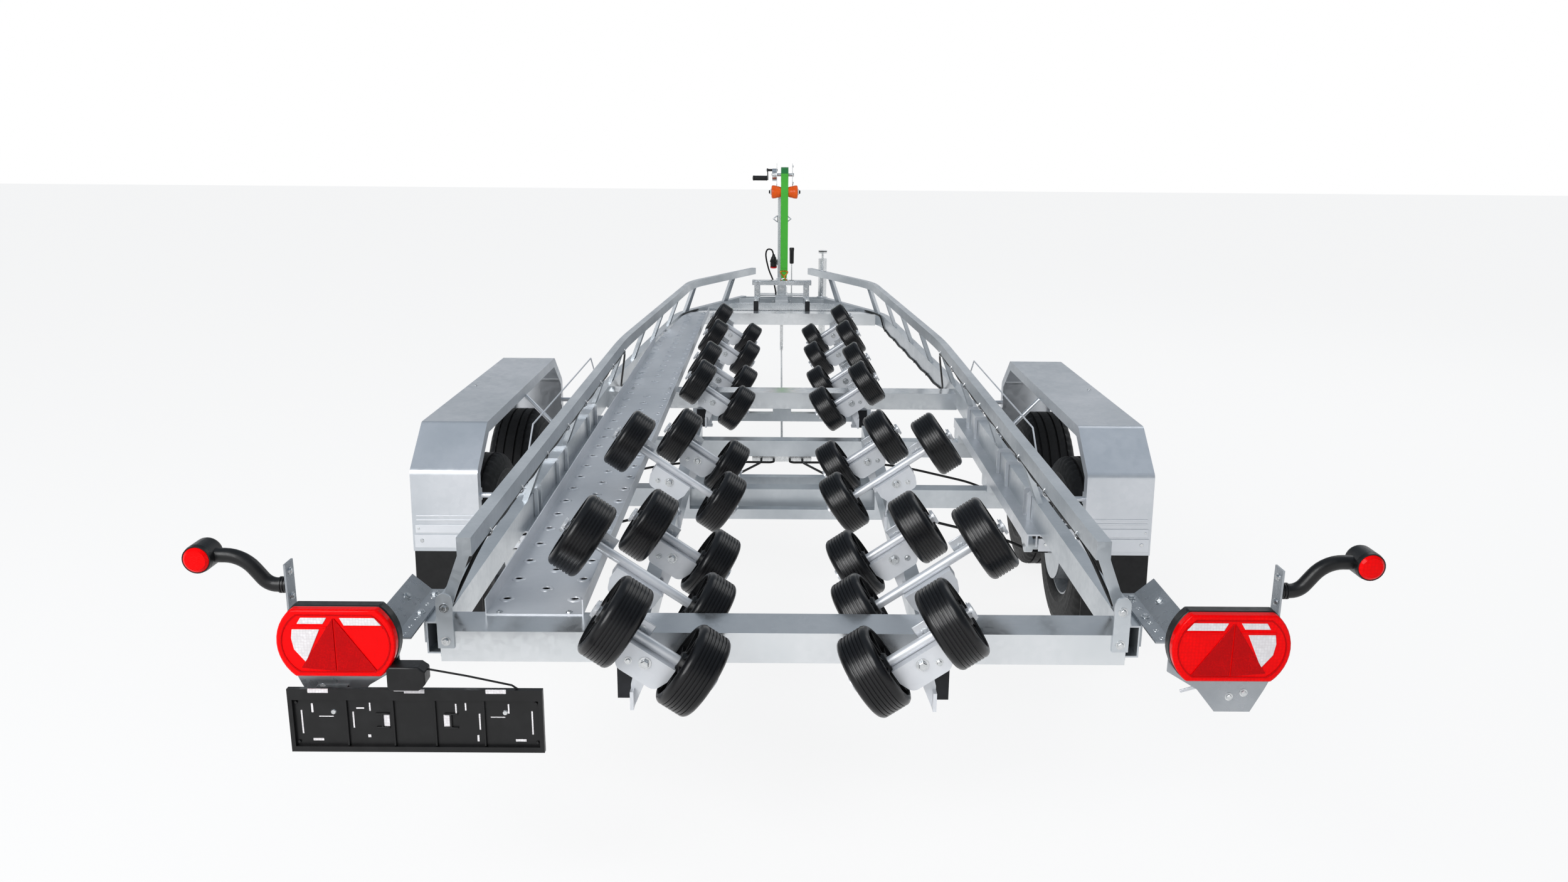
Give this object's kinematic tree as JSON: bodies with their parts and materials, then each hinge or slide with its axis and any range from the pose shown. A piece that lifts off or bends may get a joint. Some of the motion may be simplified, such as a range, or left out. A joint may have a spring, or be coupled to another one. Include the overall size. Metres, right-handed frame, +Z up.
{
  "type": "boat trailer",
  "caption": "Galvanised twin-axle boat trailer with tilted rubber roller pairs, lattice side frames, walkway, winch post with bow roller, lamps and a jockey wheel.",
  "frame": {"origin": "floor point under the middle of the trailer's overall length and width", "axes": "+X to the trailer's right, +Y forward along the drawbar to the coupling, +Z up"},
  "size_m": [2.434, 7.27, 1.603],
  "materials": {
    "galvanised_frame": "hot-dip galvanised steel, mottled",
    "galvanised_sheet": "galvanised sheet, smooth",
    "galvanised_axle": "galvanised steel, dull",
    "roller_rubber": "ribbed black rubber",
    "tyre_rubber": "black tyre rubber",
    "rim_steel": "silver painted pressed steel",
    "black_plastic": "black moulded plastic",
    "flap_rubber": "black moulded flap",
    "orange_plastic": "orange cast polyurethane",
    "green_webbing": "green polyester webbing",
    "zinc_plate": "bright zinc-plated steel",
    "lamp_red": "red acrylic lens"
  },
  "bodies": {
    "root": {"side_frame_right": "galvanised_frame", "side_frame_left": "galvanised_frame", "crossbeams": "galvanised_frame", "axle_rails": "galvanised_frame", "axles": "galvanised_axle", "mudguard_right": "galvanised_sheet", "mudguard_left": "galvanised_sheet", "mud_flaps": "flap_rubber", "walkway": "galvanised_sheet", "cradle_beams_rear": "galvanised_frame", "cradle_beams_front": "galvanised_frame", "beam_caps": "black_plastic", "roller_saddles_rear": "galvanised_sheet", "roller_saddles_front": "galvanised_sheet", "winch_post": "galvanised_frame", "winch_frame": "zinc_plate", "winch_strap": "green_webbing", "coupling_housing": "galvanised_frame", "coupling_bellows": "black_plastic", "coupling_head": "zinc_plate", "hand_brake": "zinc_plate", "jockey_tube": "zinc_plate", "rear_lamps": "lamp_red", "lamp_brackets": "galvanised_sheet", "marker_lamps": "black_plastic", "plate_holder": "black_plastic", "brake_linkage": "zinc_plate", "cables": "black_plastic"},
    "wheel_rear_right": {"tyre_rear_right": "tyre_rubber", "rim_rear_right": "rim_steel"},
    "wheel_rear_left": {"tyre_rear_left": "tyre_rubber", "rim_rear_left": "rim_steel"},
    "wheel_front_right": {"tyre_front_right": "tyre_rubber", "rim_front_right": "rim_steel"},
    "wheel_front_left": {"tyre_front_left": "tyre_rubber", "rim_front_left": "rim_steel"},
    "rollers_rear_1_right_pair": {"rollers_rear_1_right": "roller_rubber"},
    "rollers_rear_1_left_pair": {"rollers_rear_1_left": "roller_rubber"},
    "rollers_rear_2_right_pair": {"rollers_rear_2_right": "roller_rubber"},
    "rollers_rear_2_left_pair": {"rollers_rear_2_left": "roller_rubber"},
    "rollers_rear_3_right_pair": {"rollers_rear_3_right": "roller_rubber"},
    "rollers_rear_3_left_pair": {"rollers_rear_3_left": "roller_rubber"},
    "rollers_rear_4_right_pair": {"rollers_rear_4_right": "roller_rubber"},
    "rollers_rear_4_left_pair": {"rollers_rear_4_left": "roller_rubber"},
    "rollers_rear_5_right_pair": {"rollers_rear_5_right": "roller_rubber"},
    "rollers_rear_5_left_pair": {"rollers_rear_5_left": "roller_rubber"},
    "rollers_front_1_right_pair": {"rollers_front_1_right": "roller_rubber"},
    "rollers_front_1_left_pair": {"rollers_front_1_left": "roller_rubber"},
    "rollers_front_2_right_pair": {"rollers_front_2_right": "roller_rubber"},
    "rollers_front_2_left_pair": {"rollers_front_2_left": "roller_rubber"},
    "rollers_front_3_right_pair": {"rollers_front_3_right": "roller_rubber"},
    "rollers_front_3_left_pair": {"rollers_front_3_left": "roller_rubber"},
    "rollers_front_4_right_pair": {"rollers_front_4_right": "roller_rubber"},
    "rollers_front_4_left_pair": {"rollers_front_4_left": "roller_rubber"},
    "bow_roller_body": {"bow_roller": "orange_plastic"},
    "drum_body": {"winch_drum": "green_webbing"},
    "crank_body": {"winch_crank": "black_plastic"},
    "jockey_leg_body": {"jockey_leg": "zinc_plate"},
    "jockey_fork_body": {"jockey_fork": "zinc_plate"},
    "jockey_wheel_body": {"jockey_wheel": "roller_rubber"}
  },
  "joints": [
    {"name": "wheel_spin_rear_right", "type": "hinge", "parent": "root", "child": "wheel_rear_right", "pos_m": [1.1, -1.7, 0.325], "axis": [1, 0, 0], "continuous": true},
    {"name": "wheel_spin_rear_left", "type": "hinge", "parent": "root", "child": "wheel_rear_left", "pos_m": [-1.1, -1.7, 0.325], "axis": [1, 0, 0], "continuous": true},
    {"name": "wheel_spin_front_right", "type": "hinge", "parent": "root", "child": "wheel_front_right", "pos_m": [1.1, -0.956, 0.325], "axis": [1, 0, 0], "continuous": true},
    {"name": "wheel_spin_front_left", "type": "hinge", "parent": "root", "child": "wheel_front_left", "pos_m": [-1.1, -0.956, 0.325], "axis": [1, 0, 0], "continuous": true},
    {"name": "spin_rollers_rear_1_right", "type": "hinge", "parent": "root", "child": "rollers_rear_1_right_pair", "pos_m": [0.28828, -3.38, 0.65627], "axis": [0.8261, 0, 0.5635], "continuous": true},
    {"name": "spin_rollers_rear_1_left", "type": "hinge", "parent": "root", "child": "rollers_rear_1_left_pair", "pos_m": [-0.28828, -3.38, 0.65627], "axis": [-0.8261, 0, 0.5635], "continuous": true},
    {"name": "spin_rollers_rear_2_right", "type": "hinge", "parent": "root", "child": "rollers_rear_2_right_pair", "pos_m": [0.35107, -3.041, 0.6991], "axis": [0.8261, 0, 0.5635], "continuous": true},
    {"name": "spin_rollers_rear_2_left", "type": "hinge", "parent": "root", "child": "rollers_rear_2_left_pair", "pos_m": [-0.35107, -3.041, 0.6991], "axis": [-0.8261, 0, 0.5635], "continuous": true},
    {"name": "spin_rollers_rear_3_right", "type": "hinge", "parent": "root", "child": "rollers_rear_3_right_pair", "pos_m": [0.28828, -2.695, 0.65627], "axis": [0.8261, 0, 0.5635], "continuous": true},
    {"name": "spin_rollers_rear_3_left", "type": "hinge", "parent": "root", "child": "rollers_rear_3_left_pair", "pos_m": [-0.28828, -2.695, 0.65627], "axis": [-0.8261, 0, 0.5635], "continuous": true},
    {"name": "spin_rollers_rear_4_right", "type": "hinge", "parent": "root", "child": "rollers_rear_4_right_pair", "pos_m": [0.35107, -2.085, 0.6991], "axis": [0.8261, 0, 0.5635], "continuous": true},
    {"name": "spin_rollers_rear_4_left", "type": "hinge", "parent": "root", "child": "rollers_rear_4_left_pair", "pos_m": [-0.35107, -2.085, 0.6991], "axis": [-0.8261, 0, 0.5635], "continuous": true},
    {"name": "spin_rollers_rear_5_right", "type": "hinge", "parent": "root", "child": "rollers_rear_5_right_pair", "pos_m": [0.28828, -1.655, 0.65627], "axis": [0.8261, 0, 0.5635], "continuous": true},
    {"name": "spin_rollers_rear_5_left", "type": "hinge", "parent": "root", "child": "rollers_rear_5_left_pair", "pos_m": [-0.28828, -1.655, 0.65627], "axis": [-0.8261, 0, 0.5635], "continuous": true},
    {"name": "spin_rollers_front_1_right", "type": "hinge", "parent": "root", "child": "rollers_front_1_right_pair", "pos_m": [0.28828, -0.66, 0.65627], "axis": [0.8261, 0, 0.5635], "continuous": true},
    {"name": "spin_rollers_front_1_left", "type": "hinge", "parent": "root", "child": "rollers_front_1_left_pair", "pos_m": [-0.28828, -0.66, 0.65627], "axis": [-0.8261, 0, 0.5635], "continuous": true},
    {"name": "spin_rollers_front_2_right", "type": "hinge", "parent": "root", "child": "rollers_front_2_right_pair", "pos_m": [0.28828, -0.155, 0.65627], "axis": [0.8261, 0, 0.5635], "continuous": true},
    {"name": "spin_rollers_front_2_left", "type": "hinge", "parent": "root", "child": "rollers_front_2_left_pair", "pos_m": [-0.28828, -0.155, 0.65627], "axis": [-0.8261, 0, 0.5635], "continuous": true},
    {"name": "spin_rollers_front_3_right", "type": "hinge", "parent": "root", "child": "rollers_front_3_right_pair", "pos_m": [0.28828, 0.58, 0.65627], "axis": [0.8261, 0, 0.5635], "continuous": true},
    {"name": "spin_rollers_front_3_left", "type": "hinge", "parent": "root", "child": "rollers_front_3_left_pair", "pos_m": [-0.28828, 0.58, 0.65627], "axis": [-0.8261, 0, 0.5635], "continuous": true},
    {"name": "spin_rollers_front_4_right", "type": "hinge", "parent": "root", "child": "rollers_front_4_right_pair", "pos_m": [0.28828, 1.235, 0.65627], "axis": [0.8261, 0, 0.5635], "continuous": true},
    {"name": "spin_rollers_front_4_left", "type": "hinge", "parent": "root", "child": "rollers_front_4_left_pair", "pos_m": [-0.28828, 1.235, 0.65627], "axis": [-0.8261, 0, 0.5635], "continuous": true},
    {"name": "bow_roller_spin", "type": "hinge", "parent": "root", "child": "bow_roller_body", "pos_m": [0.015, 2.514, 1.415], "axis": [1, 0, 0], "continuous": true},
    {"name": "drum_spin", "type": "hinge", "parent": "root", "child": "drum_body", "pos_m": [0.015, 2.59, 1.528], "axis": [1, 0, 0], "continuous": true},
    {"name": "crank_spin", "type": "hinge", "parent": "root", "child": "crank_body", "pos_m": [-0.07, 2.652, 1.558], "axis": [1, 0, 0], "continuous": true},
    {"name": "jockey_lift", "type": "slide", "parent": "root", "child": "jockey_leg_body", "axis": [0, 0, 1], "range_m": [0, 0.18]},
    {"name": "jockey_swivel", "type": "hinge", "parent": "jockey_leg_body", "child": "jockey_fork_body", "pos_m": [0.3, 2.96, 0.245], "axis": [0, 0, 1], "continuous": true},
    {"name": "jockey_wheel_spin", "type": "hinge", "parent": "jockey_fork_body", "child": "jockey_wheel_body", "pos_m": [0.3, 2.915, 0.1], "axis": [1, 0, 0], "continuous": true}
  ],
  "couplings": [
    {"joint": "crank_spin", "follows": "drum_spin", "ratio": -4}
  ]
}
